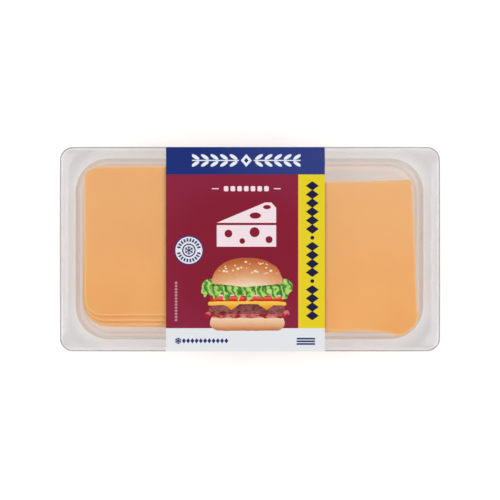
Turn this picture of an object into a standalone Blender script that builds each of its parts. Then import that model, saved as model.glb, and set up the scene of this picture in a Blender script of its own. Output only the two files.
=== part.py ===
"""Pack of sliced cheese.

A clear thermoformed tray with a flat sealing flange holds two stacks of square slices side by
side. A clear film closes it, and a printed label runs across the middle of the film.
Units are metres and +Z is up. The pack lies on the floor of its tray with the film upwards. Its
long side runs along X, and the origin is under its middle, on the surface it lies on.
"""

import math
import random

import bmesh
import bpy
from mathutils import Matrix, Vector

COLLECTION = "pack_of_sliced_cheese"

# Outline of the sealed pack, seen from above
PACK_LENGTH = 0.2150
PACK_WIDTH = 0.1156
PACK_CORNER = 0.0076

# Tray: one sheet of clear plastic with a flat flange and a deep pocket
SHEET = 0.0005
FLANGE_TOP = 0.0343
POCKET_LENGTH = 0.1963
POCKET_WIDTH = 0.1018
POCKET_CORNER = 0.0187
POCKET_CENTRE = Vector((-0.0003, 0.0002))
WALL_DRAFT = math.radians(2.5)
RIM_FILLET = 0.0008
FLOOR_FILLET = 0.0050
RIM_STEPS = 3
FLOOR_STEPS = 5
CORNER_STEPS = 10

# Gap kept between pieces that touch
GAP = 0.0003

# Film and label on the flange
FILM = 0.0002
LABEL = 0.0002
LABEL_LENGTH = 0.0899
LABEL_CENTRE_X = -0.0026
LABEL_CORNER = 0.0002

# Cheese slices
SLICES_IN_STACK = 16
SLICE_SIDE = 0.0845
SLICE_PITCH = 0.0020
SLICE_THICKNESS = SLICE_PITCH - GAP
SLICE_WAVE = 0.00015
SLICE_ARC_STEPS = 5
SLICE_EDGE_STEPS = 8
SLICE_SHIFT_SPREAD = 0.0003
SLICE_TURN_SPREAD = math.radians(0.25)

# Corners of a slice in the order -X-Y, +X-Y, +X+Y, -X+Y, counted down from the top slice of its
# stack. The ones in the round corners of the pocket are pressed round, the others stay as they
# were cut. The last entry holds for all slices below.
LEFT_CORNERS = (
    (0.0095, 0.0015, 0.0015, 0.0075),
    (0.0110, 0.0015, 0.0015, 0.0075),
    (0.0125, 0.0015, 0.0015, 0.0075),
    (0.0138, 0.0015, 0.0015, 0.0075),
)
RIGHT_CORNERS = ((0.0015, 0.0100, 0.0015, 0.0015),)

# Middle and turn of a slice, counted down from the top slice of its stack. The last entry
# holds for all slices below.
LEFT_PLACES = (
    (Vector((-0.0515, 0.0045)), math.radians(0.2)),
    (Vector((-0.0514, 0.0017)), math.radians(0.0)),
    (Vector((-0.0516, -0.0011)), math.radians(-0.3)),
    (Vector((-0.0519, -0.0019)), math.radians(-0.8)),
)
RIGHT_PLACES = (
    (Vector((0.0496, -0.0040)), math.radians(0.1)),
    (Vector((0.0508, -0.0047)), math.radians(2.3)),
    (Vector((0.0505, -0.0046)), math.radians(1.6)),
    (Vector((0.0500, -0.0042)), math.radians(0.9)),
)

# The soft slices of the right stack have spread along the short wall of the tray, where their
# edges lean alike, and have crept down into the round corner of the pocket: the share of the
# full move, counted down from the top slice, of which the last holds for all slices below
LEAN = math.radians(2.3)
CREPT_SHARES = (0.8, 0.9, 1.0, 0.7)
CREPT_CORNER = Vector((SLICE_SIDE / 2, -SLICE_SIDE / 2))
CREPT_MOVE = Vector((0.0006, -0.0052))
CREPT_REACH = 0.0260

CHEESE = (0.82, 0.42, 0.15)
CLEAR = (0.90, 0.89, 0.88)
LABEL_RED = (0.25, 0.02, 0.05)


def clear_scene():
    """Removes the objects that the scene already holds."""
    for old in list(bpy.data.objects):
        bpy.data.objects.remove(old, do_unlink=True)


def make_collection():
    """The collection that holds the pieces of the pack."""
    collection = bpy.data.collections.new(COLLECTION)
    bpy.context.scene.collection.children.link(collection)
    return collection


def plain_material(name, colour, roughness, alpha=1.0):
    """A Principled material of one colour."""
    material = bpy.data.materials.new(name)
    material.use_nodes = True
    shader = material.node_tree.nodes["Principled BSDF"]
    shader.inputs["Base Color"].default_value = (*colour, 1.0)
    shader.inputs["Roughness"].default_value = roughness
    shader.inputs["Metallic"].default_value = 0.0
    shader.inputs["Alpha"].default_value = alpha
    return material


def rounded_outline(length, width, radii, arc_steps, edge_steps=1):
    """Points of a rectangle with a radius of its own at each corner, counter-clockwise from
    the corner at -X -Y. Each edge is divided into edge_steps."""
    signs = ((-1, -1), (1, -1), (1, 1), (-1, 1))
    arcs = []
    for index, (radius, (sign_x, sign_y)) in enumerate(zip(radii, signs)):
        centre = Vector((sign_x * (length / 2 - radius), sign_y * (width / 2 - radius)))
        first_angle = math.pi * (1 + index / 2)
        arc = []
        for step in range(arc_steps + 1):
            angle = first_angle + math.pi / 2 * step / arc_steps
            arc.append(centre + radius * Vector((math.cos(angle), math.sin(angle))))
        arcs.append(arc)
    points = []
    for index, arc in enumerate(arcs):
        next_point = arcs[(index + 1) % len(arcs)][0]
        points.extend(arc)
        for step in range(1, edge_steps):
            points.append(arc[-1].lerp(next_point, step / edge_steps))
    return points


def flat_piece(name, points, bottom, thickness, material, collection):
    """A flat piece of even thickness with the given outline."""
    curve = bpy.data.curves.new(name, "CURVE")
    curve.dimensions = "2D"
    curve.fill_mode = "BOTH"
    curve.extrude = thickness / 2
    spline = curve.splines.new("POLY")
    spline.points.add(len(points) - 1)
    for spline_point, point in zip(spline.points, points):
        spline_point.co = (point.x, point.y, 0.0, 1.0)
    spline.use_cyclic_u = True
    curve.materials.append(material)
    piece = bpy.data.objects.new(name, curve)
    piece.location.z = bottom + thickness / 2
    collection.objects.link(piece)
    return piece


def pocket_profile():
    """Inset from the pocket's edge and height of its inner face, from the flange inwards."""
    profile = []
    turn = math.pi / 2 - WALL_DRAFT
    for step in range(RIM_STEPS + 1):
        angle = turn * step / RIM_STEPS
        inset = RIM_FILLET * (math.sin(angle) - 1)
        height = FLANGE_TOP - RIM_FILLET * (1 - math.cos(angle))
        profile.append((inset, height))
    wall_top = profile[-1]
    fillet_start = SHEET + FLOOR_FILLET * (1 - math.sin(WALL_DRAFT))
    fillet_inset = wall_top[0] + (wall_top[1] - fillet_start) * math.tan(WALL_DRAFT)
    fillet_centre = fillet_inset + FLOOR_FILLET * math.cos(WALL_DRAFT)
    for step in range(FLOOR_STEPS + 1):
        angle = WALL_DRAFT + turn * step / FLOOR_STEPS
        inset = fillet_centre - FLOOR_FILLET * math.cos(angle)
        height = SHEET + FLOOR_FILLET * (1 - math.sin(angle))
        profile.append((inset, height))
    return profile


def pocket_inset(height):
    """How far the pocket's inner face lies inside its edge at a height."""
    profile = pocket_profile()
    for (inset_above, above), (inset_below, below) in zip(profile, profile[1:]):
        if below <= height <= above:
            share = (above - height) / (above - below)
            return inset_above + share * (inset_below - inset_above)
    return profile[-1][0]


def pocket_ring(inset):
    """Outline of the pocket at an inset from its edge."""
    radius = POCKET_CORNER - inset
    points = rounded_outline(
        POCKET_LENGTH - 2 * inset, POCKET_WIDTH - 2 * inset, [radius] * 4, CORNER_STEPS
    )
    return [point + POCKET_CENTRE for point in points]


def add_ring(mesh, points, height):
    """Adds the points of an outline at one height."""
    return [mesh.verts.new((point.x, point.y, height)) for point in points]


def make_tray(material, collection):
    """The tray: flange, rim, drafted walls, rounded floor edge and floor as one sheet."""
    mesh = bmesh.new()
    flange_edge = rounded_outline(PACK_LENGTH, PACK_WIDTH, [PACK_CORNER] * 4, CORNER_STEPS)
    rings = [add_ring(mesh, flange_edge, FLANGE_TOP)]
    for inset, height in pocket_profile():
        rings.append(add_ring(mesh, pocket_ring(inset), height))
    for outer, inner in zip(rings, rings[1:]):
        for index in range(len(outer)):
            following = (index + 1) % len(outer)
            mesh.faces.new((outer[index], outer[following], inner[following], inner[index]))
    mesh.faces.new(rings[-1])
    data = bpy.data.meshes.new("tray")
    mesh.to_mesh(data)
    mesh.free()
    data.shade_smooth()
    data.set_sharp_from_angle(angle=math.radians(40))
    data.materials.append(material)
    tray = bpy.data.objects.new("tray", data)
    collection.objects.link(tray)
    wall = tray.modifiers.new("sheet", "SOLIDIFY")
    wall.thickness = SHEET
    wall.offset = -1.0
    wall.use_even_offset = True
    return tray


def make_film(material, collection):
    """The clear film, sealed on the flange and cut with it."""
    outline = rounded_outline(PACK_LENGTH, PACK_WIDTH, [PACK_CORNER] * 4, CORNER_STEPS)
    return flat_piece("lid_film", outline, FLANGE_TOP + GAP, FILM, material, collection)


def make_label(material, collection):
    """The printed label, across the film from one long edge of the pack to the other."""
    bottom = FLANGE_TOP + GAP + FILM + GAP
    outline = rounded_outline(LABEL_LENGTH, PACK_WIDTH, [LABEL_CORNER] * 4, 1)
    outline = [point + Vector((LABEL_CENTRE_X, 0.0)) for point in outline]
    return flat_piece("label", outline, bottom, LABEL, material, collection)


def spread(point, turn):
    """Widens a slice towards its lower right, so that its right edge leans."""
    share = (point.x / SLICE_SIDE + 0.5) * (0.5 - point.y / SLICE_SIDE)
    return point + Vector((SLICE_SIDE * math.tan(LEAN - turn) * share, 0.0))


def creep(point, amount):
    """Moves the points near one corner of a slice outwards, less the further off they are."""
    distance = (point - CREPT_CORNER).length
    share = max(0.0, 1.0 - distance / CREPT_REACH)
    return point + CREPT_MOVE * amount * share * share * (3 - 2 * share)


def press_into_pocket(point, inset):
    """Moves a point that would lie in the tray's wall back inside, the shortest way."""
    reach = POCKET_CORNER - inset - GAP
    offset = point - POCKET_CENTRE
    core = Vector((POCKET_LENGTH / 2 - POCKET_CORNER, POCKET_WIDTH / 2 - POCKET_CORNER))
    over = Vector((max(abs(offset.x) - core.x, 0.0), max(abs(offset.y) - core.y, 0.0)))
    if over.length <= reach:
        return point
    pull = over * (1.0 - reach / over.length)
    return point - Vector((math.copysign(pull.x, offset.x), math.copysign(pull.y, offset.y)))


def make_slice(name, corners, place, crept, bottom, chance, material, collection):
    """One slice: a rounded square with slightly uneven edges, crept by a share of the full move,
    turned, moved and pressed into the pocket."""
    middle, turn = place
    shift = Vector((chance.uniform(-1, 1), chance.uniform(-1, 1))) * SLICE_SHIFT_SPREAD
    turn = turn + chance.uniform(-1, 1) * SLICE_TURN_SPREAD
    turned = Matrix.Rotation(turn, 2)
    inset = pocket_inset(bottom)
    points = []
    for point in rounded_outline(
        SLICE_SIDE, SLICE_SIDE, corners, SLICE_ARC_STEPS, SLICE_EDGE_STEPS
    ):
        if crept:
            point = spread(creep(point, crept), turn)
        point = point * (1 + chance.uniform(-1, 1) * SLICE_WAVE / SLICE_SIDE)
        points.append(press_into_pocket(turned @ point + middle + shift, inset))
    return flat_piece(name, points, bottom, SLICE_THICKNESS, material, collection)


def make_stack(side, corner_sets, places, crept_shares, seed, material, collection):
    """A stack of slices, made and numbered from the floor of the tray up."""
    chance = random.Random(seed)
    for number in range(1, SLICES_IN_STACK + 1):
        below_top = SLICES_IN_STACK - number
        corners = corner_sets[min(below_top, len(corner_sets) - 1)]
        place = places[min(below_top, len(places) - 1)]
        crept = crept_shares[min(below_top, len(crept_shares) - 1)]
        bottom = SHEET + GAP + (number - 1) * SLICE_PITCH
        name = f"slice_{side}_{number:02d}"
        make_slice(name, corners, place, crept, bottom, chance, material, collection)


def build():
    """Makes the whole pack."""
    clear_scene()
    collection = make_collection()
    make_tray(plain_material("clear_tray", CLEAR, 0.12, 0.3), collection)
    make_film(plain_material("clear_film", CLEAR, 0.08, 0.2), collection)
    make_label(plain_material("printed_label", LABEL_RED, 0.30), collection)
    cheese = plain_material("cheese", CHEESE, 0.45)
    make_stack("left", LEFT_CORNERS, LEFT_PLACES, (0.0,), 11, cheese, collection)
    make_stack("right", RIGHT_CORNERS, RIGHT_PLACES, CREPT_SHARES, 23, cheese, collection)


build()
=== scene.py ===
"""Looks of a pack of sliced cheese: clear tray, clear lid film, printed label and two stacks.

Everything is in metres in the pack's own frame: +X along the pack, +Y up in the photograph and
+Z out of the lid. Materials and the print count in millimetres. The camera looks straight down on
the lid, as in the photograph.
"""

import math

import bmesh
import bpy
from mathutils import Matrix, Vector, noise


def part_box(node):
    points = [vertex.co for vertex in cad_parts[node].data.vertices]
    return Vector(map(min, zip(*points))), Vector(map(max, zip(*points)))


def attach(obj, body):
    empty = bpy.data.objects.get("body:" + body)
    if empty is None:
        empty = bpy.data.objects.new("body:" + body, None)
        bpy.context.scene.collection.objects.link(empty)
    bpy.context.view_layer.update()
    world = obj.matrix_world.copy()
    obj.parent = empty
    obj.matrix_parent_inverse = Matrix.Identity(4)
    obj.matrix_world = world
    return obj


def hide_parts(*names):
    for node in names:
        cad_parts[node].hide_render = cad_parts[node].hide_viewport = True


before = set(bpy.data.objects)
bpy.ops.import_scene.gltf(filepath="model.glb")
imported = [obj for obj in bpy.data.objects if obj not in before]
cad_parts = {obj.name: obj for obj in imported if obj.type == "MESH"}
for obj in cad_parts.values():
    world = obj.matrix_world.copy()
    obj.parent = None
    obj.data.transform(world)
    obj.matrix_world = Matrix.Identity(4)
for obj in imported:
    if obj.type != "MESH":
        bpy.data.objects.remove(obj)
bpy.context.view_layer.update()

MM = 0.001
SAME = 0.01 * MM
SLICES_IN_STACK = 16

# Photograph: its scale at the lid, its middle, and the middle of the pack in it
PIXEL = 0.5658 * MM
PHOTO_SIZE = 500
PHOTO_MIDDLE = 250.0
PACK_MIDDLE_Y = 249.15
CAMERA_DISTANCE = 2.6
SENSOR = 36.0

# Tray, from the frame and from the sheet it is formed of
TRAY_LOW, TRAY_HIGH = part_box("tray")
FLANGE_TOP = TRAY_HIGH.z
PACK_LENGTH = TRAY_HIGH.x - TRAY_LOW.x
PACK_WIDTH = TRAY_HIGH.y - TRAY_LOW.y
PACK_CORNER = 7.6 * MM
SHEET = 0.45 * MM
LIP_WIDTH = 0.45 * MM
LIP_DROP = 0.35 * MM
POCKET_LENGTH = 196.3 * MM
POCKET_WIDTH = 101.8 * MM
POCKET_CORNER = 18.7 * MM
POCKET_X = -0.3 * MM
POCKET_Y = 0.2 * MM
WALL_DRAFT = math.radians(2.5)
RIM_FILLET = 0.8 * MM
FLOOR_FILLET = 5.0 * MM
FLOOR_GAP = 0.05 * MM
CORNER_STEPS = 18
FLOOR_STEPS = 8
RIM_STEPS = 4
SMOOTH_ANGLE = 40

# Film and label. The film comes free of its seal within a share of the way to the middle of the
# pocket, and each of its waves is a size, the waves to a metre along X and Y, and a start.
LAYER_GAP = 0.04 * MM
FILM_BOTTOM = FLANGE_TOP + LAYER_GAP
FILM = 0.10 * MM
FILM_CELL = 5.0 * MM
FILM_RISE = 0.30 * MM
FILM_WAVES = ((1.0, 22, 30, 0.7), (0.4, 60, 75, 4.1))
FILM_LIFT = 0.2
FREE_WITHIN_X = 1 / 6
FREE_WITHIN_Y = 1 / 3
LABEL_LOW, LABEL_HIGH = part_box("label")
LABEL_BOTTOM = FILM_BOTTOM + FILM + LAYER_GAP
LABEL = 0.10 * MM

# Cheese slices: their soft edges, and the waves to a metre of their faces and edges
SLICE_CELL = 7.0 * MM
SLICE_BEVEL = 0.22 * MM
SLICE_SWELL = 1.15
SLICE_RIM = 1.1 * MM
SLICE_UNEVEN = 0.12 * MM
FACE_WAVES = 25
EDGE_WAVES = 90
RIGHT_SEED = 40
SLICE_SMOOTH_ANGLE = 50
RIM_MARK = "rim"

# Light on the lid: brightness of a white matt surface there, and of the gloss over it
LID_LIGHT = 1.15
LID_GLOSS = 0.013


def linear(red, green, blue):
    """A colour given as screen values from 0 to 255, as light."""
    light = []
    for level in (red, green, blue):
        share = level / 255
        light.append(share / 12.92 if share <= 0.04045 else ((share + 0.055) / 1.055) ** 2.4)
    return tuple(light)


def printed(red, green, blue):
    """The colour a surface on the lid needs to show as these screen values."""
    return tuple(min(max(level - LID_GLOSS, 0.002) / LID_LIGHT, 0.95)
                 for level in linear(red, green, blue))


# Clear plastic. A haze is how much of the plastic is seen rather than seen through: on the whole,
# where film and flange are sealed (a real haze with painted shade), and as painted shade on the
# floor, at the foot of the walls and at the pocket's rim. Glancing is the same for a look along
# the
# surface, which then takes a tint: on the tray a painted reflection of the cheese.
TRAY_PLASTIC = {
    "through": (0.989, 0.987, 0.988), "haze": 0.02, "sealed_haze_and_shade": 0.145, "floor_shade_haze": 0.10,
    "foot_shade_haze": 0.085, "rim_shade_haze": 0.09, "rim_shade": 0.8, "glancing": 0.56,
    "glancing_painted_tint": (0.50, 0.44, 0.40), "roughness": 0.12,
}
FILM_PLASTIC = {
    "through": (0.988, 0.983, 0.983), "haze": 0.035, "sealed_haze_and_shade": 0.08, "floor_shade_haze": 0.0,
    "foot_shade_haze": 0.0, "rim_shade_haze": 0.0, "rim_shade": 0.0, "glancing": 0.75,
    "glancing_painted_tint": (0.78, 0.78, 0.78), "roughness": 0.06,
}
# Shares: painted shade at the cut edge, a painted highlight just inside it where the sealed haze
# thins, and the sealed haze left at the pocket, painted shade that evens out the light under the
# flange
CUT_SHADE_HAZE = 0.15
BEAD_HIGHLIGHT = 0.25
SEALED_INNER = 0.55
MIRROR = (0.78, 0.78, 0.78)
# Colours the plastic shows: painted shade on the tray's floor and at the foot of its walls, tinted
# as a painted reflection of the cheese, the sealed grey (a real haze with painted shade), and
# painted shade at the rim and at the cut edge
TRAY_FLOOR_SHADE = (0.75, 0.52, 0.38)
SEALED_HAZE_AND_SHADE = (0.17, 0.16, 0.18)
FOOT_PAINTED_SHADE = (0.58, 0.34, 0.20)
RIM_PAINTED_SHADE = (0.30, 0.26, 0.24)
CUT_PAINTED_SHADE = (0.10, 0.10, 0.10)

# Zones of the plastic. Each begins or ends gently between two distances in mm: the first two
# outside the pack's outline, the next five outside the pocket's edge, the last two above the
# ground. Below 0 is inside.
CUT_START = (-0.80, -0.55)
BEAD_START = (-1.75, -1.09)
FLANGE_START = (-0.6, 0.8)
SEALED_FADE = (0.0, 8.0)
FOOT_START = (-4.4, -2.9)
RIM_START = (-1.4, -0.8)
RIM_END = (0.0, 0.5)
FLOOR_END = (1.5, 4.0)
FOOT_END = (3.0, 12.0)

# Cheese: its colours, its painted light on the sides and at the rim and how much of it the rim has
# on its top and its sides, its clouds, grain and streaks to a metre, where a painted sheen makes
# it paler in mm along Y, and for each stack its painted light tone (the right one lighter) and how
# much painted sheen it has
CHEESE_DEEP = (0.835, 0.392, 0.103)
CHEESE_PALE = (0.870, 0.430, 0.121)
CHEESE_SHEEN = (0.838, 0.458, 0.172)
CHEESE_SPECK = (0.92, 0.52, 0.20)
CHEESE_EDGE_LIGHT = (0.90, 0.60, 0.29)
CHEESE_SIDE_LIGHT = (0.995, 0.515, 0.135)
TOP_EDGE_LIGHT = 0.65
SIDE_EDGE_LIGHT = 0.10
CHEESE_CLOUDS = 26.0
CHEESE_GRAIN = 900.0
CHEESE_STREAKS = (30.0, 700.0, 700.0)
SHEEN_FROM = -40.0
SHEEN_TO = 48.0
STACKS = (("left", 0.99, 0.8), ("right", 1.02, 1.0))

# Inks
RED = printed(136, 21, 54)
RED_WASH = printed(140, 41, 67)
BLUE_DEEP = printed(30, 50, 121)
BLUE_PALE = printed(52, 65, 131)
YELLOW = printed(232, 210, 40)
YELLOW_EDGE = printed(243, 196, 70)
PAPER = printed(231, 233, 237)
PRINT_WHITE = printed(236, 240, 248)
PINK_WHITE = printed(246, 226, 232)
PINK_DIM = printed(196, 140, 158)
NAVY = printed(48, 54, 112)
INK = printed(24, 34, 66)
BUN_DARK = printed(186, 100, 58)
BUN_BROWN = printed(206, 128, 80)
BUN_MID = printed(226, 168, 122)
BUN_PALE = printed(243, 214, 184)
BUN_SHADE = printed(176, 104, 74)
SESAME = printed(248, 226, 190)
BACON_DARK = printed(160, 32, 44)
BACON_PALE = printed(214, 120, 116)
PATTY_DARK = printed(96, 44, 44)
PATTY_PALE = printed(158, 92, 88)
MELT_DEEP = printed(232, 150, 40)
MELT_PALE = printed(250, 202, 84)
TOMATO_SKIN = printed(206, 44, 38)
TOMATO_FLESH = printed(232, 104, 78)
ONION = printed(238, 206, 220)
LEAF_DARK = printed(54, 118, 48)
LEAF_MID = printed(112, 176, 66)
LEAF_PALE = printed(190, 220, 124)
LEAF_SHADE = printed(40, 70, 34)

# Places of the print, in millimetres from the middle of the pack. A hole of the wedge is a place
# and a size.
PRINT_SOFT = 0.12
LABEL_RIGHT = LABEL_HIGH.x / MM
HEAD_BOTTOM = 42.24
FOOT_TOP = -44.73
STRIP_LEFT = 27.38
GARLAND_X = -2.1
GARLAND_Y = 50.2
GARLAND_LENGTH = 61.4
TALLY_X = -2.1
TALLY_Y = 34.2
WEDGE_X = -2.0
WEDGE_Y = 1.4
WEDGE_WIDE = 33.6
WEDGE_HIGH = 25.0
WEDGE_FRONT = 12.2
WEDGE_LINE = 1.3
WEDGE_SLOPE = 0.42
WEDGE_HOLES = ((-10.2, 7.4, 4.4), (-2.4, 3.2, 3.2), (4.6, 8.2, 5.6), (12.8, 4.0, 4.0))
WEDGE_TOP_HOLES = ((5.0, 17.6, 6.4), (11.6, 22.4, 4.4))
BADGE_X = -34.57
BADGE_Y = -0.65
BADGE_RIM = 8.32
BADGE_DISC = 7.64
COLUMN_X = 35.25
COLUMN_Y = -0.9
COLUMN_LENGTH = 78.4
COLUMN_PITCH = 4.9
COLUMN_GAPS = (7.35, -17.15)
FOOT_MARK_Y = -51.85
BEADS_X = -41.8
BEADS_Y = -29.6
STAR_X = -40.6
ROW_X = -25.4
BARS_X = 31.6
BARS_Y = -52.15

# The pictured burger. Its layers are a middle above its foot, a width, a height and a corner.
BURGER_X = -1.6
BURGER_FOOT = -46.1
LOWER_BUN = (4.4, 42.0, 8.8, 4.2)
LOWER_SHADE = (8.0, 39.0, 1.8, 0.9)
RASHER = (9.3, 48.0, 3.6, 1.7)
PATTY = (12.2, 43.0, 5.4, 2.6)
MELT = (15.6, 44.5, 2.2, 1.0)
MELT_CORNERS = (-9.0, 11.0)
TOMATO = (18.2, 21.0, 3.2, 1.5)
TOMATO_CORE = (18.5, 17.5, 1.5, 0.7)
TOMATO_MIDDLES = (-10.4, 10.6)
ONION_LOW = 19.6
ONION_HIGH = 20.5
LEAF = (24.2, 51.5, 10.0, 4.6)
LEAF_UNDER_BUN = (26.2, 40.0, 2.4, 1.2)
DOME_FOOT = 25.0
DOME_WIDE = 40.5
DOME_HIGH = 32.4

# Floor: its radius in metres, its two shades and how much it glows
FLOOR_RADIUS = 12.0
FLOOR_DEEP = (0.59, 0.59, 0.59)
FLOOR_PALE = (0.62, 0.62, 0.62)
FLOOR_GLOW = 0.46

# How bright the room is at a height, from the horizon to overhead
ROOM_LIGHT = ((0.0, 1.2), (0.08, 1.15), (0.25, 0.62), (0.50, 0.37), (1.0, 0.24))
ROOM_STRENGTH = 1.2

# Soft square lights: their side in metres, then name, place and power of each. Below them stands
# how many layers of plastic light may pass.
LIGHT_SIZE = 1.1
LIGHTS = (
    ("left_light", (-1.05, 0.25, 2.0), 14.4),
    ("right_light", (1.05, -0.25, 2.0), 14.4),
    ("back_light", (0.2, 1.2, 2.0), 7.7),
    ("front_light", (-0.2, -1.2, 2.0), 7.7),
)
CLEAR_LAYERS = 24


class Value:
    """A number that varies over a surface. Sums and products of values add Math nodes."""

    def __init__(self, graph, socket):
        self.graph = graph
        self.socket = socket

    def __add__(self, other):
        return self.graph.math("ADD", self, other)

    def __radd__(self, other):
        return self.graph.math("ADD", other, self)

    def __sub__(self, other):
        return self.graph.math("SUBTRACT", self, other)

    def __rsub__(self, other):
        return self.graph.math("SUBTRACT", other, self)

    def __mul__(self, other):
        return self.graph.math("MULTIPLY", self, other)

    def __rmul__(self, other):
        return self.graph.math("MULTIPLY", other, self)

    def __pow__(self, other):
        return self.graph.math("POWER", self, other)

    def __abs__(self):
        return self.graph.math("ABSOLUTE", self)


class Graph:
    """The nodes of one material."""

    def __init__(self, name):
        self.material = bpy.data.materials.new(name)
        self.material.use_nodes = True
        self.tree = self.material.node_tree
        self.tree.nodes.clear()
        self.output = self.tree.nodes.new("ShaderNodeOutputMaterial")
        self.place = self.node("TexCoord", output="Object")
        self.x, self.y, self.z = self.parts(self.place, 1 / MM)

    def node(self, kind, settings=None, inputs=None, output=0):
        """Adds a node: its settings first, then the values or links of its sockets."""
        made = self.tree.nodes.new("ShaderNode" + kind)
        for name, value in (settings or {}).items():
            if name == "stops":
                self.set_stops(made.color_ramp, value)
            else:
                setattr(made, name, value)
        for name, value in (inputs or {}).items():
            if isinstance(value, Value):
                self.tree.links.new(value.socket, made.inputs[name])
            else:
                made.inputs[name].default_value = value
        return Value(self, made.outputs[output])

    def set_stops(self, ramp, stops):
        """Sets a ramp's stops, each a position and a colour."""
        while len(ramp.elements) < len(stops):
            ramp.elements.new(1.0)
        for element, (position, colour) in zip(ramp.elements, stops):
            element.position = position
            element.color = (*colour, 1.0)

    def math(self, operation, *values):
        """A Math node on values and plain numbers."""
        return self.node("Math", {"operation": operation}, dict(enumerate(values)))

    def parts(self, vector, scale=1.0):
        """The three parts of a vector, each times a scale."""
        split = self.node("SeparateXYZ", None, {0: vector}).socket.node
        return [Value(self, socket) * scale for socket in split.outputs]

    def step(self, value, low, high):
        """Rises smoothly from 0 at low to 1 at high."""
        settings = {"interpolation_type": "SMOOTHSTEP"}
        return self.node("MapRange", settings, {0: value, 1: low, 2: high, 3: 0.0, 4: 1.0})

    def mix(self, first, second, share):
        """One colour over another."""
        first, second = [
            value if isinstance(value, Value) else (*value, 1.0) for value in (first, second)
        ]
        return self.node("Mix", {"data_type": "RGBA"}, {0: share, 6: first, 7: second}, 2)

    def ramp(self, value, stops):
        """A colour from a row of stops."""
        return self.node("ValToRGB", {"stops": stops}, {0: value})

    def rounded_box(self, across, along, wide, high, corner):
        """How far a point is outside a box with round corners, below 0 inside it."""
        past_x = abs(across) - wide / 2 + corner
        past_y = abs(along) - high / 2 + corner
        out_x = self.math("MAXIMUM", past_x, 0.0)
        out_y = self.math("MAXIMUM", past_y, 0.0)
        deepest = self.math("MINIMUM", self.math("MAXIMUM", past_x, past_y), 0.0)
        return self.math("SQRT", out_x * out_x + out_y * out_y) + deepest - corner

    def stretched(self, scale, shift=(0.0, 0.0, 0.0), turn=0.0):
        """Object coordinates, moved, turned and scaled."""
        inputs = {"Vector": self.place, "Location": shift, "Rotation": (0.0, 0.0, turn),
                  "Scale": scale}
        return self.node("Mapping", {"vector_type": "POINT"}, inputs)

    def noise(self, scale, detail=2.0, vector=None, roughness=0.5):
        """Cloudy noise from 0 to 1, with scale features to a metre."""
        inputs = {"Vector": vector or self.place, "Scale": scale, "Detail": detail,
                  "Roughness": roughness}
        return self.node("TexNoise", None, inputs)

    def bump(self, height, distance, strength=1.0):
        """A normal from a height."""
        inputs = {"Height": height, "Distance": distance, "Strength": strength}
        return self.node("Bump", None, inputs)

    def principled(self, **inputs):
        """A Principled shader with the given sockets, underlines standing for spaces."""
        named = {name.replace("_", " "): value for name, value in inputs.items()}
        return self.node("BsdfPrincipled", None, named)

    def finish(self, shader):
        """Links the shader to the output and gives back the material."""
        self.tree.links.new(shader.socket, self.output.inputs["Surface"])
        return self.material


def near(first, second):
    """Whether two lengths are the same."""
    return abs(first - second) < SAME


def deselect():
    """Leaves edit mode and deselects every object."""
    if bpy.context.object and bpy.context.object.mode != "OBJECT":
        bpy.ops.object.mode_set(mode="OBJECT")
    bpy.ops.object.select_all(action="DESELECT")


def select(piece):
    """Selects one object alone and makes it the active one."""
    deselect()
    piece.select_set(True)
    bpy.context.view_layer.objects.active = piece


def edit(piece, mode="VERT"):
    """Opens a piece in edit mode."""
    select(piece)
    bpy.ops.object.mode_set(mode="EDIT")
    bpy.ops.mesh.select_mode(type=mode)


def pick(mode, test):
    """Selects, of the piece in edit mode, the vertices, edges or faces that pass a test."""
    bpy.ops.mesh.select_mode(type=mode)
    bpy.ops.mesh.select_all(action="DESELECT")
    data = bpy.context.object.data
    mesh = bmesh.from_edit_mesh(data)
    group = {"VERT": mesh.verts, "EDGE": mesh.edges, "FACE": mesh.faces}[mode]
    for element in group:
        if test(element):
            element.select_set(True)
    mesh.select_flush_mode()
    bmesh.update_edit_mesh(data)


def edge_at(height):
    """A test for edges that lie at one height."""
    return lambda edge: all(near(vertex.co.z, height) for vertex in edge.verts)


def cut_grid(length, width, cell):
    """Cuts the piece in edit mode into cells along X and Y, round the origin."""
    for axis, size in ((0, length), (1, width)):
        count = round(size / cell)
        for index in range(1, count):
            at = Vector((0, 0, 0))
            at[axis] = size * (index / count - 0.5)
            normal = Vector((0, 0, 0))
            normal[axis] = 1
            bpy.ops.mesh.select_all(action="SELECT")
            bpy.ops.mesh.bisect(plane_co=at, plane_no=normal)


def apply_modifier(piece, kind, **settings):
    """Adds a modifier with its settings and applies it."""
    select(piece)
    modifier = piece.modifiers.new(kind.lower(), kind)
    for name, value in settings.items():
        setattr(modifier, name, value)
    bpy.ops.object.modifier_apply(modifier=modifier.name)


def thicken(piece, thickness, offset):
    """Gives an open surface a wall."""
    apply_modifier(piece, "SOLIDIFY", thickness=thickness, offset=offset, use_even_offset=True)


def settle(piece, name, material, cad_node, smooth_angle=SMOOTH_ANGLE):
    """Names a finished piece, gives it its material and puts it in the pack for a CAD node."""
    select(piece)
    bpy.ops.object.transform_apply(location=True, rotation=True, scale=True)
    bpy.ops.object.shade_smooth_by_angle(angle=math.radians(smooth_angle))
    piece.name = name
    piece.data.name = name
    piece.data.materials.clear()
    piece.data.materials.append(material)
    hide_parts(cad_node)
    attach(piece, "root")
    return piece


def rounded_plane(length, width, corner, x, y, z):
    """A plane with round corners, as a new object in edit mode."""
    deselect()
    bpy.ops.mesh.primitive_plane_add(size=1, location=(x, y, z))
    piece = bpy.context.object
    piece.scale = (length, width, 1)
    bpy.ops.object.transform_apply(location=True, rotation=True, scale=True)
    edit(piece)
    bpy.ops.mesh.select_all(action="SELECT")
    bpy.ops.mesh.bevel(affect="VERTICES", offset=corner, segments=CORNER_STEPS)
    return piece


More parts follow.
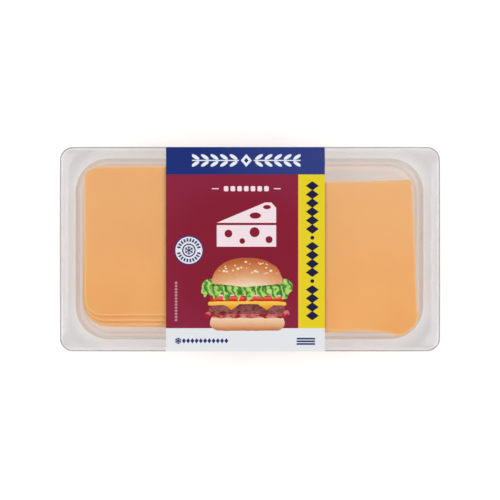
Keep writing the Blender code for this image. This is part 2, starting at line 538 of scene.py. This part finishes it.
def point_up(piece):
    """Turns an open sheet's faces so that the flat ones look up."""
    lift = sum(face.normal.z * face.area for face in piece.data.polygons)
    if lift < 0:
        edit(piece, "FACE")
        bpy.ops.mesh.select_all(action="SELECT")
        bpy.ops.mesh.flip_normals()
        deselect()


def make_flange():
    """The flange: the outlines of pack and pocket, bridged to a flat ring, open for editing."""
    inner = rounded_plane(POCKET_LENGTH, POCKET_WIDTH, POCKET_CORNER, POCKET_X, POCKET_Y,
                          FLANGE_TOP)
    deselect()
    outer = rounded_plane(PACK_LENGTH - 2 * LIP_WIDTH, PACK_WIDTH - 2 * LIP_WIDTH,
                          PACK_CORNER - LIP_WIDTH, 0, 0, FLANGE_TOP)
    select(outer)
    inner.select_set(True)
    bpy.ops.object.join()
    tray = bpy.context.object
    edit(tray, "FACE")
    bpy.ops.mesh.select_all(action="SELECT")
    bpy.ops.mesh.delete(type="ONLY_FACE")
    pick("EDGE", edge_at(FLANGE_TOP))
    bpy.ops.mesh.bridge_edge_loops()
    return tray


def is_pocket_edge(edge):
    """Whether an edge is of the pocket's outline: inside the flange and with one face."""
    inside = all(abs(vertex.co.x) < POCKET_LENGTH / 2 + 1 * MM
                 and abs(vertex.co.y) < POCKET_WIDTH / 2 + 1 * MM for vertex in edge.verts)
    return edge.is_boundary and inside


def is_rim_edge(edge):
    """Whether an edge is where the flange turns down into the pocket."""
    return edge_at(FLANGE_TOP)(edge) and any(abs(face.normal.z) < 0.5 for face in edge.link_faces)


def draw_pocket():
    """Draws the pocket down from the flange and rounds its rim and the edge of its floor."""
    depth = FLANGE_TOP - SHEET
    inset = depth * math.tan(WALL_DRAFT)
    pick("EDGE", is_pocket_edge)
    bpy.ops.mesh.extrude_edges_move(TRANSFORM_OT_translate={"value": (0, 0, -depth)})
    shrink = (1 - 2 * inset / POCKET_LENGTH, 1 - 2 * inset / POCKET_WIDTH, 1)
    bpy.ops.transform.resize(value=shrink, center_override=(POCKET_X, POCKET_Y, SHEET))
    bpy.ops.mesh.edge_face_add()
    pick("EDGE", edge_at(SHEET))
    bpy.ops.mesh.bevel(affect="EDGES", offset=FLOOR_FILLET, segments=FLOOR_STEPS)
    pick("EDGE", is_rim_edge)
    bpy.ops.mesh.bevel(affect="EDGES", offset=RIM_FILLET, segments=RIM_STEPS)


def turn_lip():
    """Turns the outer edge of the flange down."""
    grow_x = PACK_LENGTH / (PACK_LENGTH - 2 * LIP_WIDTH)
    grow_y = PACK_WIDTH / (PACK_WIDTH - 2 * LIP_WIDTH)
    pick("EDGE", lambda edge: edge.is_boundary)
    bpy.ops.mesh.extrude_edges_move(TRANSFORM_OT_translate={"value": (0, 0, -LIP_DROP)})
    bpy.ops.transform.resize(value=(grow_x, grow_y, 1), center_override=(0, 0, 0))


def make_tray(material):
    """The tray: a flange with its lip turned down and a pocket drawn down inside it."""
    tray = make_flange()
    draw_pocket()
    turn_lip()
    bpy.ops.mesh.select_all(action="SELECT")
    bpy.ops.mesh.normals_make_consistent(inside=False)
    deselect()
    point_up(tray)
    thicken(tray, SHEET, -1.0)
    return settle(tray, "clear_tray", material, "tray")


def film_rise(x, y):
    """How far the film stands above its seal: nothing on the flange, and slow waves between."""
    share_x = 1 - min(abs(x - POCKET_X) / (POCKET_LENGTH / 2), 1)
    share_y = 1 - min(abs(y - POCKET_Y) / (POCKET_WIDTH / 2), 1)
    free = min(share_x / FREE_WITHIN_X, 1) * min(share_y / FREE_WITHIN_Y, 1)
    free = free * free * (3 - 2 * free)
    wave = sum(size * noise.noise(Vector((x * along_x, y * along_y, start)))
               for size, along_x, along_y, start in FILM_WAVES)
    return FILM_RISE * free * (FILM_LIFT + (1 - FILM_LIFT) * wave)


def lay_on_film(piece):
    """Raises and lowers the points of a flat sheet with the film."""
    for vertex in piece.data.vertices:
        vertex.co.z += film_rise(vertex.co.x, vertex.co.y)


def make_film(material):
    """The clear film, flat on the flange and slightly uneven over the pocket."""
    film = rounded_plane(PACK_LENGTH, PACK_WIDTH, PACK_CORNER, 0, 0, FILM_BOTTOM)
    cut_grid(PACK_LENGTH, PACK_WIDTH, FILM_CELL)
    deselect()
    lay_on_film(film)
    thicken(film, FILM, 1.0)
    return settle(film, "lid_film_sheet", material, "lid_film")


def make_label(material):
    """The printed label, stuck along the film from one long edge to the other."""
    middle = (LABEL_LOW + LABEL_HIGH) / 2
    size = LABEL_HIGH - LABEL_LOW
    deselect()
    bpy.ops.mesh.primitive_plane_add(size=1, location=(middle.x, middle.y, LABEL_BOTTOM))
    label = bpy.context.object
    label.scale = (size.x, size.y, 1)
    bpy.ops.object.transform_apply(location=True, rotation=True, scale=True)
    edit(label)
    cut_grid(PACK_LENGTH, PACK_WIDTH, FILM_CELL)
    deselect()
    lay_on_film(label)
    thicken(label, LABEL, 1.0)
    return settle(label, "printed_label", material, "label")


def uneven(piece, seed):
    """Gives a slice the slight waves of a soft sheet that was cut and stacked by machine."""
    for vertex in piece.data.vertices:
        x, y, _ = vertex.co
        place = Vector((x * FACE_WAVES, y * FACE_WAVES, seed * 0.13))
        edge = Vector((x * EDGE_WAVES, y * EDGE_WAVES, seed * 3.7))
        vertex.co.z += SLICE_UNEVEN * noise.noise(place)
        vertex.co.x += SLICE_UNEVEN * noise.noise(edge)
        vertex.co.y += SLICE_UNEVEN * noise.noise(edge + Vector((5, 9, 2)))


def mark_rim(piece):
    """Marks the points of a slice, in edit mode: 0 on the faces now selected, 1 round them."""
    mesh = bmesh.from_edit_mesh(piece.data)
    layer = mesh.verts.layers.float.new(RIM_MARK)
    for vertex in mesh.verts:
        vertex[layer] = 0.0 if vertex.select else 1.0
    bmesh.update_edit_mesh(piece.data)


def make_slice(side, number, material):
    """One slice, from its CAD solid: thicker by the gap, with soft edges and slight waves."""
    cad_name = f"slice_{side}_{number:02d}"
    low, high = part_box(cad_name)
    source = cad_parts[cad_name]
    piece = bpy.data.objects.new(cad_name + "_soft", source.data.copy())
    bpy.context.scene.collection.objects.link(piece)
    edit(piece)
    bpy.ops.mesh.select_all(action="SELECT")
    bpy.ops.mesh.remove_doubles(threshold=SAME)
    bpy.ops.mesh.dissolve_limited(angle_limit=math.radians(0.5))
    middle = (low + high) / 2
    bpy.ops.transform.resize(value=(1, 1, SLICE_SWELL), center_override=middle)
    half = (high.z - low.z) / 2 * SLICE_SWELL
    top = middle.z + half
    bottom = middle.z - half
    pick("EDGE", lambda edge: edge_at(top)(edge) or edge_at(bottom)(edge))
    bpy.ops.mesh.bevel(affect="EDGES", offset=SLICE_BEVEL, segments=2)
    pick("FACE", lambda face: abs(face.normal.z) > 0.99)
    bpy.ops.mesh.inset(thickness=SLICE_RIM)
    mark_rim(piece)
    cut_grid(PACK_LENGTH, PACK_WIDTH, SLICE_CELL)
    deselect()
    uneven(piece, number + (0 if side == "left" else RIGHT_SEED))
    return settle(piece, f"cheese_{side}_{number:02d}", material, cad_name,
                  SLICE_SMOOTH_ANGLE)


def clear_plastic(name, through, haze, sealed_haze_and_shade, floor_shade_haze, foot_shade_haze, rim_shade_haze, rim_shade,
                  glancing, glancing_painted_tint, roughness):
    """Clear plastic: greyer where film and tray are sealed, a real haze with painted shade. It has
    painted shade at the cut edge, at the rim, at the foot and on the floor, the last two tinted as
    a painted reflection of the cheese, a painted highlight just inside the cut edge, and on the
    walls a painted reflection of the cheese at a slant.
    """
    graph = Graph(name)
    facing = graph.node("LayerWeight", None, {"Blend": 0.5}, "Facing")
    outline = graph.rounded_box(graph.x, graph.y, PACK_LENGTH / MM, PACK_WIDTH / MM,
                                PACK_CORNER / MM)
    pocket = graph.rounded_box(graph.x - POCKET_X / MM, graph.y - POCKET_Y / MM,
                               POCKET_LENGTH / MM, POCKET_WIDTH / MM, POCKET_CORNER / MM)
    # Painted shade at the cut edge of the plastic
    cut = graph.step(outline, *CUT_START)
    # Just inside the cut edge the sealed haze thins: a painted highlight
    bead = graph.step(outline, *BEAD_START)
    on_flange = graph.step(pocket, *FLANGE_START)
    # The sealed haze thins towards the pocket: painted shade that evens out the light under the
    # flange
    outer = SEALED_INNER + graph.step(pocket, *SEALED_FADE) * (1 - SEALED_INNER)
    sealed = on_flange * (1 - bead * BEAD_HIGHLIGHT) * outer
    # Painted shade on the tray's floor, tinted as a painted reflection of the cheese
    low = 1 - graph.step(graph.z, *FLOOR_END)
    # Painted shade at the foot of the walls, tinted as a painted reflection of the cheese
    foot = graph.step(pocket, *FOOT_START) * (1 - graph.step(graph.z, *FOOT_END))
    # Painted shade at the pocket's rim
    at_rim = graph.step(pocket, *RIM_START) * (1 - graph.step(pocket, *RIM_END))
    # How much plastic is seen straight on, and then at every slant
    still = haze + sealed * (sealed_haze_and_shade - haze) + cut * (CUT_SHADE_HAZE - haze)
    still = still + low * floor_shade_haze + foot * foot_shade_haze + at_rim * rim_shade_haze
    share = still + (glancing - still) * facing ** 4.0
    # At a slant off the flange the gloss takes its tint: on the tray a painted reflection of the
    # cheese
    colour = graph.mix(MIRROR, glancing_painted_tint, facing ** 3.0 * (1 - on_flange))
    # Painted shade and painted reflections of the cheese on floor and foot, the sealed grey with
    # painted shade, and painted shade at the rim and at the cut edge
    colour = graph.mix(colour, TRAY_FLOOR_SHADE, low * (1 - facing))
    colour = graph.mix(colour, FOOT_PAINTED_SHADE, foot)
    colour = graph.mix(colour, SEALED_HAZE_AND_SHADE, sealed * (1 - facing))
    colour = graph.mix(colour, RIM_PAINTED_SHADE, at_rim * rim_shade)
    colour = graph.mix(colour, CUT_PAINTED_SHADE, cut)
    waves = graph.noise(60.0, 1.0)
    clear = graph.node("BsdfTransparent", None, {"Color": (*through, 1.0)})
    gloss = graph.principled(Base_Color=colour, Metallic=0.85, Roughness=roughness,
                             Normal=graph.bump(waves, 0.4 * MM))
    return graph.finish(graph.node("MixShader", None, {0: share, 1: clear, 2: gloss}))


def shade(colour, light_tone):
    """A colour made lighter or darker."""
    return tuple(part * light_tone for part in colour)


def cheese_material(name, light_tone, sheen_share):
    """Soft orange cheese: even and slightly waxy, with painted light that makes it paler near the
    cut sides of a slice, lighter on its sides and paler towards +Y, and a painted light tone per
    stack.
    """
    graph = Graph(name)
    clouds = graph.noise(CHEESE_CLOUDS)
    grain = graph.noise(CHEESE_GRAIN)
    streaks = graph.noise(1.0, vector=graph.stretched(CHEESE_STREAKS))
    # The stack's tone is painted light: the right stack lighter
    colour = graph.mix(shade(CHEESE_DEEP, light_tone), shade(CHEESE_PALE, light_tone),
                       graph.step(clouds, 0.35, 0.65))
    # Painted sheen: the cheese paler towards +Y
    sheen_mask = graph.step(graph.y, SHEEN_FROM, SHEEN_TO) * sheen_share
    colour = graph.mix(colour, shade(CHEESE_SHEEN, light_tone), sheen_mask)
    colour = graph.mix(colour, CHEESE_SPECK, graph.step(grain, 0.5, 0.8) * 0.10)
    rim = graph.node("Attribute", {"attribute_name": RIM_MARK}, None, "Fac")
    _, _, upright = graph.parts(graph.node("NewGeometry", None, None, "Normal"))
    flat = graph.step(abs(upright), 0.3, 0.9)
    # Painted light that makes the slice's sides lighter
    colour = graph.mix(colour, CHEESE_SIDE_LIGHT, (1 - flat) * 0.8)
    # Painted light near the cut sides of a slice, strongest on its top face
    edge_light = graph.step(rim + (clouds - 0.5) * 0.4, 0.0, 1.0)
    colour = graph.mix(colour, CHEESE_EDGE_LIGHT, edge_light * (SIDE_EDGE_LIGHT + flat * (TOP_EDGE_LIGHT - SIDE_EDGE_LIGHT)))
    height = grain * 0.25 + streaks * flat * 0.4
    return graph.finish(graph.principled(
        Base_Color=colour, Roughness=0.42 + clouds * 0.12, Normal=graph.bump(height, 0.03 * MM),
        Subsurface_Weight=0.4, Subsurface_Radius=(1.0, 0.5, 0.2), Subsurface_Scale=2.0 * MM,
        Specular_IOR_Level=0.35,
    ))


class Print(Graph):
    """The print of the label: inks laid over each other, shape by shape, sizes in millimetres."""

    def __init__(self, name, ground):
        super().__init__(name)
        self.colour = ground

    def lay(self, ink, shape):
        """Lays an ink over what is printed so far."""
        self.colour = self.mix(self.colour, ink, shape)

    def within(self, value, low, high):
        """1 where a value lies between two limits, with soft ends."""
        rise = self.step(value, low - PRINT_SOFT, low + PRINT_SOFT)
        return rise * (1 - self.step(value, high - PRINT_SOFT, high + PRINT_SOFT))

    def around(self, x, y):
        """Coordinates round a point."""
        return self.x - x, self.y - y

    def oval(self, u, v, wide, high, power=2.0):
        """An oval, or with a higher power a softer box, round the point where u and v are 0."""
        far = (abs(u) * (2 / wide)) ** power + (abs(v) * (2 / high)) ** power
        edge = power * PRINT_SOFT * 2 / min(wide, high)
        return 1 - self.step(far, 1 - edge, 1 + edge)

    def block(self, u, v, wide, high, corner):
        """A block with round corners, round the point where u and v are 0."""
        outside = self.rounded_box(u, v, wide, high, corner)
        return 1 - self.step(outside, -PRINT_SOFT, PRINT_SOFT)

    def layer(self, u, v, sizes):
        """A block at a height: its middle along v, width, height and corner."""
        middle, wide, high, corner = sizes
        return self.block(u, v - middle, wide, high, corner)

    def lozenge(self, u, v, wide, high):
        """A lozenge round the point where u and v are 0."""
        far = abs(u) * (2 / wide) + abs(v) * (2 / high)
        edge = PRINT_SOFT * 2 / min(wide, high)
        return 1 - self.step(far, 1 - edge, 1 + edge)

    def repeat(self, value, pitch):
        """A value that starts again at every pitch, 0 at the middle of each turn."""
        return self.math("WRAP", value, -pitch / 2, pitch / 2)

    def far(self, u, v):
        """The distance from the point where u and v are 0."""
        return self.math("SQRT", u * u + v * v)

    def turned(self, u, v, degrees):
        """The two coordinates turned by an angle."""
        cosine = math.cos(math.radians(degrees))
        sine = math.sin(math.radians(degrees))
        return u * cosine + v * sine, v * cosine - u * sine


def print_fields(art):
    """The label's large fields: red with a softer wash, blue head, yellow strip, white foot."""
    u, v = art.around(-4.0, -2.0)
    far = art.far(u * (1 / 46.0), v * (1 / 42.0))
    cloud = art.noise(18.0, 1.0)
    wash = art.step(far + (cloud - 0.5) * 0.5, 0.55, 1.30)
    art.lay(RED_WASH, wash * 0.9)
    head = art.step(art.x + cloud * 30, -25.0, 60.0)
    blue = art.mix(BLUE_DEEP, BLUE_PALE, head)
    strip = art.within(art.x, STRIP_LEFT, LABEL_RIGHT + 1)
    art.lay(YELLOW, strip)
    art.lay(YELLOW_EDGE, art.within(art.x, STRIP_LEFT - 0.1, STRIP_LEFT + 0.6))
    art.lay(blue, art.step(art.y, HEAD_BOTTOM - PRINT_SOFT, HEAD_BOTTOM + PRINT_SOFT))
    art.lay(PAPER, 1 - art.step(art.y, FOOT_TOP - PRINT_SOFT, FOOT_TOP + PRINT_SOFT))


def print_garland(art):
    """A white garland of leaves on the blue head."""
    u, v = art.around(GARLAND_X, GARLAND_Y)
    out = abs(u)
    inside = art.within(out, 4.2, GARLAND_LENGTH / 2)
    leaf_u, leaf_v = art.turned(art.repeat(out - 7.2, 5.4), abs(v) - 1.95, 32.0)
    leaf = art.oval(leaf_u, leaf_v, 5.0, 1.9)
    stem = art.within(v, -0.30, 0.30)
    art.lay(PRINT_WHITE, art.math("MAXIMUM", leaf, stem) * inside)
    art.lay(PRINT_WHITE, art.lozenge(u, v, 6.2, 7.2))
    art.lay(BLUE_DEEP, art.lozenge(u, v, 2.6, 3.0))


def print_tally(art):
    """A row of small squares between two dashes."""
    u, v = art.around(TALLY_X, TALLY_Y)
    row = art.within(abs(u), -1.0, 13.2)
    squares = art.block(art.repeat(u, 3.8), v, 2.6, 2.9, 0.7)
    dashes = art.within(abs(u), 15.6, 19.4) * art.within(v, -0.28, 0.28)
    art.lay(PINK_WHITE, art.math("MAXIMUM", squares * row, dashes))


def print_wedge(art):
    """A pale wedge of cheese with round holes."""
    u, v = art.around(WEDGE_X, WEDGE_Y)
    half = WEDGE_WIDE / 2
    sides = art.within(u, -half, half)
    front = sides * art.within(v, 0.0, WEDGE_FRONT)
    slope = art.within(v - WEDGE_FRONT - WEDGE_LINE - (u + half) * WEDGE_SLOPE, -40.0, 0.0)
    slope = slope * art.within(v + (u - half) * 1.1, -90.0, WEDGE_HIGH - 3.0)
    top = slope * art.within(v, WEDGE_FRONT + WEDGE_LINE, WEDGE_HIGH) * sides
    shape = art.math("MAXIMUM", front, top)
    for hole_u, hole_v, size in WEDGE_HOLES:
        shape = shape * (1 - art.oval(u - hole_u, v - hole_v, size, size))
    for hole_u, hole_v, size in WEDGE_TOP_HOLES:
        shape = shape * (1 - art.oval(u - hole_u, v - hole_v, size, size * 0.55))
    art.lay(PINK_WHITE, shape)


def print_badge(art):
    """A round badge: a ring of short strokes round a six-armed snow star."""
    u, v = art.around(BADGE_X, BADGE_Y)
    far = art.far(u, v)
    angle = art.math("ARCTAN2", v, u)
    art.lay(NAVY, 1 - art.step(far, BADGE_RIM - PRINT_SOFT, BADGE_RIM + PRINT_SOFT))
    art.lay(PAPER, 1 - art.step(far, BADGE_DISC - PRINT_SOFT, BADGE_DISC + PRINT_SOFT))
    stroke = art.within(art.repeat(angle, math.tau / 22) * far, -0.50, 0.50)
    art.lay(NAVY, stroke * art.within(far, 4.9, 6.9) * art.within(abs(v), 1.0, 9.0))
    art.lay(NAVY, art.within(far, 3.10, 3.85))
    art.lay(NAVY, snow_star(art, u, v, 2.6))


def snow_star(art, u, v, reach):
    """A star of six arms with short side arms."""
    far = art.far(u, v)
    turn = art.repeat(art.math("ARCTAN2", v, u) + math.tau / 12, math.tau / 6)
    along = far * art.math("COSINE", turn)
    aside = far * art.math("SINE", turn)
    arm = art.within(aside, -0.30, 0.30) * art.within(along, -0.2, reach)
    slant = art.within(abs(aside) - (along - reach * 0.45), -0.26, 0.26)
    branch = slant * art.within(along, reach * 0.45, reach * 0.8)
    return art.math("MAXIMUM", arm, branch)


def print_strip(art):
    """A column of dark lozenges down the yellow strip, in three groups."""
    u, v = art.around(COLUMN_X, COLUMN_Y)
    long = art.within(v, -COLUMN_LENGTH / 2, COLUMN_LENGTH / 2)
    shape = art.lozenge(u, art.repeat(v - COLUMN_PITCH / 2, COLUMN_PITCH), 7.4, 5.3)
    for gap in COLUMN_GAPS:
        shape = shape * (1 - art.within(v, gap - COLUMN_PITCH / 2, gap + COLUMN_PITCH / 2))
    art.lay(INK, shape * long)
    for gap in COLUMN_GAPS:
        art.lay(INK, art.oval(u, v - gap, 2.2, 2.2))


def print_small_marks(art):
    """Small ornaments: beads at the left, and a snow star, lozenges and bars on the white foot."""
    u, v = art.around(BEADS_X, BEADS_Y)
    beads = art.lozenge(u, art.repeat(v, 1.75), 1.9, 1.7) * art.within(v, -11.4, 11.4)
    art.lay(PINK_DIM, beads)
    u, v = art.around(STAR_X, FOOT_MARK_Y)
    art.lay(NAVY, snow_star(art, u, v, 1.9))
    u, v = art.around(ROW_X, FOOT_MARK_Y)
    row = art.lozenge(art.repeat(u, 2.4), v, 2.3, 3.0) * art.within(u, -13.2, 13.2)
    art.lay(NAVY, row)
    u, v = art.around(BARS_X, BARS_Y)
    bars = art.within(art.repeat(v, 1.5), -0.50, 0.50) * art.within(v, -2.2, 2.2)
    art.lay(NAVY, bars * art.within(u, -5.2, 5.2))


def print_lower_bun(art, u, v, grit, cloud):
    """The lower bun, pale on top and dark at its foot."""
    crumb = art.ramp(v * 0.1 + grit * 0.06 + cloud * 0.10, [
        (0.05, BUN_DARK), (0.35, BUN_MID), (0.80, BUN_PALE)])
    art.lay(crumb, art.layer(u, v, LOWER_BUN))
    art.lay(BUN_SHADE, art.layer(u, v, LOWER_SHADE) * 0.7)


def print_meat(art, u, v, grit, cloud, wobble):
    """Rippled rashers with the patty on them."""
    streaks = art.mix(BACON_DARK, BACON_PALE, art.step(cloud + wobble, 0.45, 0.75))
    art.lay(streaks, art.layer(u, v + art.math("SINE", u * 0.75) * 0.6, RASHER))
    crumble = art.step(cloud * 0.6 + grit * 0.4, 0.38, 0.62)
    art.lay(art.mix(PATTY_DARK, PATTY_PALE, crumble), art.layer(u, v, PATTY))


def print_melt(art, u, v):
    """A sheet of melted cheese with two corners hanging down."""
    melt = art.layer(u, v - art.math("COSINE", u * 0.11) * 0.5, MELT)
    for corner in MELT_CORNERS:
        droop = art.within(abs(u - corner) - (v - 11.6) * 1.4, -20.0, 0.0)
        melt = art.math("MAXIMUM", melt, droop * art.within(v, 10.0, 15.4))
    art.lay(art.mix(MELT_DEEP, MELT_PALE, art.step(v, 12.0, 16.5)), melt)


def print_vegetables(art, u, v):
    """Two slices of tomato, and a line of onion over them."""
    for middle in TOMATO_MIDDLES:
        art.lay(TOMATO_SKIN, art.layer(u - middle, v, TOMATO))
        art.lay(TOMATO_FLESH, art.layer(u - middle, v, TOMATO_CORE) * 0.8)
    line = art.within(v + art.math("SINE", u * 0.4) * 0.3, ONION_LOW, ONION_HIGH)
    art.lay(ONION, line * art.within(abs(u), -1.0, 21.0))


def print_leaf(art, u, v, cloud, wobble):
    """A frilled leaf of lettuce, darker under the upper bun."""
    middle, wide, high, corner = LEAF
    frill = art.math("SINE", u * 0.95) * 1.3 + art.math("SINE", u * 2.3) * 0.6 + wobble * 5.0
    leaf_v = v - middle + frill * art.step(26.0 - v, -2.0, 4.0)
    folds = art.math("SINE", u * 1.7 + leaf_v * 0.7 + wobble * 9.0) * 0.5 + 0.5
    green = art.ramp(folds * 0.55 + cloud * 0.45, [
        (0.20, LEAF_DARK), (0.48, LEAF_MID), (0.78, LEAF_PALE)])
    art.lay(green, art.block(u, leaf_v, wide, high, corner))
    art.lay(LEAF_SHADE, art.layer(u, v, LEAF_UNDER_BUN) * 0.6)


def print_upper_bun(art, u, v, grit, cloud):
    """The upper bun: a dome with sesame seeds, browner higher up. Its foot is where v is 0."""
    dome = art.oval(u, v, DOME_WIDE, DOME_HIGH, 2.3)
    dome = dome * art.step(v + art.math("COSINE", u * 0.15) * 0.8, 0.5, 0.8)
    side = abs(u) * 0.05
    crust = art.ramp(v * (1 / 16.5) + side * side * 0.25 + grit * 0.10 + cloud * 0.14, [
        (0.16, BUN_PALE), (0.46, BUN_MID), (0.80, BUN_BROWN), (1.0, BUN_DARK)])
    art.lay(crust, dome)
    seeds = art.node("TexVoronoi", None, {
        "Vector": art.stretched((330.0, 430.0, 0.0), turn=0.35), "Scale": 1.0, "Randomness": 0.85})
    seed = 1 - art.step(seeds, 0.24, 0.34)
    art.lay(SESAME, seed * art.oval(u, v - 2.0, 37.0, 26.0, 2.2) * art.step(v, 6.0, 9.0))


def print_burger(art):
    """A burger drawn in plain layers, from the lower bun up."""
    wobble = art.noise(230.0) - 0.5
    grit = art.noise(1300.0)
    cloud = art.noise(300.0)
    u, v = art.around(BURGER_X, BURGER_FOOT)
    u = u + wobble * 1.4
    v = v + wobble * 0.9
    print_lower_bun(art, u, v, grit, cloud)
    print_meat(art, u, v, grit, cloud, wobble)
    print_melt(art, u, v)
    print_vegetables(art, u, v)
    print_leaf(art, u, v, cloud, wobble)
    print_upper_bun(art, u, v - DOME_FOOT, grit, cloud)


def label_material():
    """The label's print, under a thin clear varnish."""
    art = Print("label_print", RED)
    print_fields(art)
    print_garland(art)
    print_tally(art)
    print_wedge(art)
    print_badge(art)
    print_small_marks(art)
    print_strip(art)
    print_burger(art)
    speckle = art.noise(2500.0, 1.0)
    return art.finish(art.principled(
        Base_Color=art.colour, Roughness=0.22 + speckle * 0.06, Specular_IOR_Level=0.25,
        Coat_Weight=0.25, Coat_Roughness=0.06, Normal=art.bump(art.noise(90.0, 2.0), 0.1 * MM),
    ))


def make_stage():
    """A plain pale floor that glows a little, like a light table."""
    deselect()
    bpy.ops.mesh.primitive_circle_add(vertices=96, radius=FLOOR_RADIUS, fill_type="NGON",
                                      location=(0, 0, -FLOOR_GAP))
    floor = bpy.context.object
    floor.name = "floor"
    graph = Graph("floor_paper")
    colour = graph.mix(FLOOR_DEEP, FLOOR_PALE, graph.noise(6.0))
    floor.data.materials.append(graph.finish(graph.principled(
        Base_Color=colour, Roughness=0.8, Emission_Color=(1.0, 1.0, 1.0, 1.0),
        Emission_Strength=FLOOR_GLOW,
    )))


def make_world():
    """Soft light all round: white at the horizon, and dimmer higher up."""
    world = bpy.data.worlds.new("soft_room")
    world.use_nodes = True
    nodes = world.node_tree.nodes
    links = world.node_tree.links
    place = nodes.new("ShaderNodeTexCoord")
    split = nodes.new("ShaderNodeSeparateXYZ")
    ramp = nodes.new("ShaderNodeValToRGB")
    for height, _ in ROOM_LIGHT[2:]:
        ramp.color_ramp.elements.new(height)
    for element, (height, level) in zip(ramp.color_ramp.elements, ROOM_LIGHT):
        element.position = height
        element.color = (level, level, level, 1.0)
    links.new(place.outputs["Generated"], split.inputs[0])
    links.new(split.outputs["Z"], ramp.inputs[0])
    links.new(ramp.outputs[0], nodes["Background"].inputs["Color"])
    nodes["Background"].inputs["Strength"].default_value = ROOM_STRENGTH
    bpy.context.scene.world = world


def make_light(name, place, power):
    """A square soft light that looks at the pack."""
    light = bpy.data.lights.new(name, "AREA")
    light.shape = "SQUARE"
    light.size = LIGHT_SIZE
    light.energy = power
    holder = bpy.data.objects.new(name, light)
    holder.location = place
    holder.rotation_euler = (-Vector(place)).to_track_quat("-Z", "Y").to_euler()
    holder.visible_camera = False
    bpy.context.scene.collection.objects.link(holder)


def make_camera():
    """A long lens straight above the lid."""
    data = bpy.data.cameras.new("camera")
    camera = bpy.data.objects.new("camera", data)
    bpy.context.scene.collection.objects.link(camera)
    data.sensor_width = SENSOR
    data.lens = SENSOR * CAMERA_DISTANCE / (PHOTO_SIZE * PIXEL)
    data.clip_end = 100.0
    camera.location = (0, (PACK_MIDDLE_Y - PHOTO_MIDDLE) * PIXEL, FLANGE_TOP + CAMERA_DISTANCE)
    bpy.context.scene.camera = camera


def build():
    """Makes the looks of the whole pack and its setting."""
    make_tray(clear_plastic("clear_sheet", **TRAY_PLASTIC))
    make_film(clear_plastic("clear_film", **FILM_PLASTIC))
    make_label(label_material())
    for side, light_tone, sheen_share in STACKS:
        cheese = cheese_material(f"cheese_{side}", light_tone, sheen_share)
        for number in range(1, SLICES_IN_STACK + 1):
            make_slice(side, number, cheese)
    make_stage()
    make_world()
    for name, place, power in LIGHTS:
        make_light(name, place, power)
    make_camera()
    scene = bpy.context.scene
    scene.view_settings.view_transform = "Standard"
    scene.view_settings.look = "None"
    scene.cycles.transparent_max_bounces = CLEAR_LAYERS


build()
